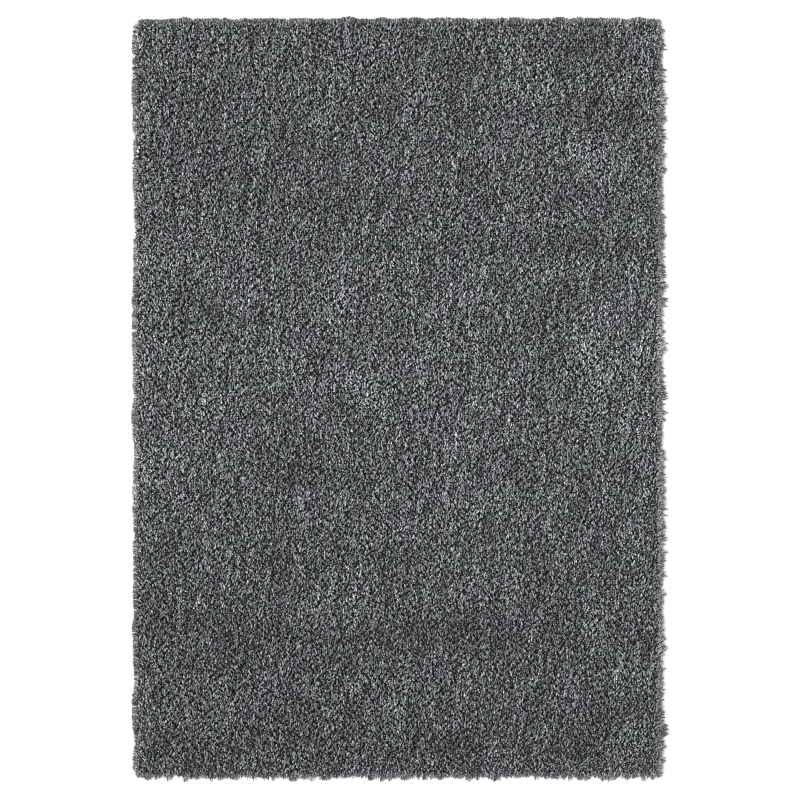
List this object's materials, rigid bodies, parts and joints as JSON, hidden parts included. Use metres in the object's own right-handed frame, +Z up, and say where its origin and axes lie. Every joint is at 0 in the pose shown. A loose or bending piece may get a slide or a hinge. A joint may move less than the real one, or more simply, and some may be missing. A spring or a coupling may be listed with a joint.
{
  "type": "shag rug",
  "caption": "Rectangular shag rug lying flat: a woven ground cloth under deep, loose heather-grey pile with a ragged rim of yarn ends.",
  "frame": {"origin": "middle of the rug's underside, on the floor", "axes": "+Z up out of the pile, +Y along the rug's length, +X across its width"},
  "size_m": [1.6395, 2.3386, 0.0323],
  "materials": {
    "ground_cloth": "plain woven cotton ground, undyed and matte",
    "pile_yarn": "soft twisted pile yarn in mixed light, middle and charcoal grey"
  },
  "bodies": {
    "root": {"ground_cloth": "ground_cloth", "shag_pile": "pile_yarn"}
  },
  "joints": []
}
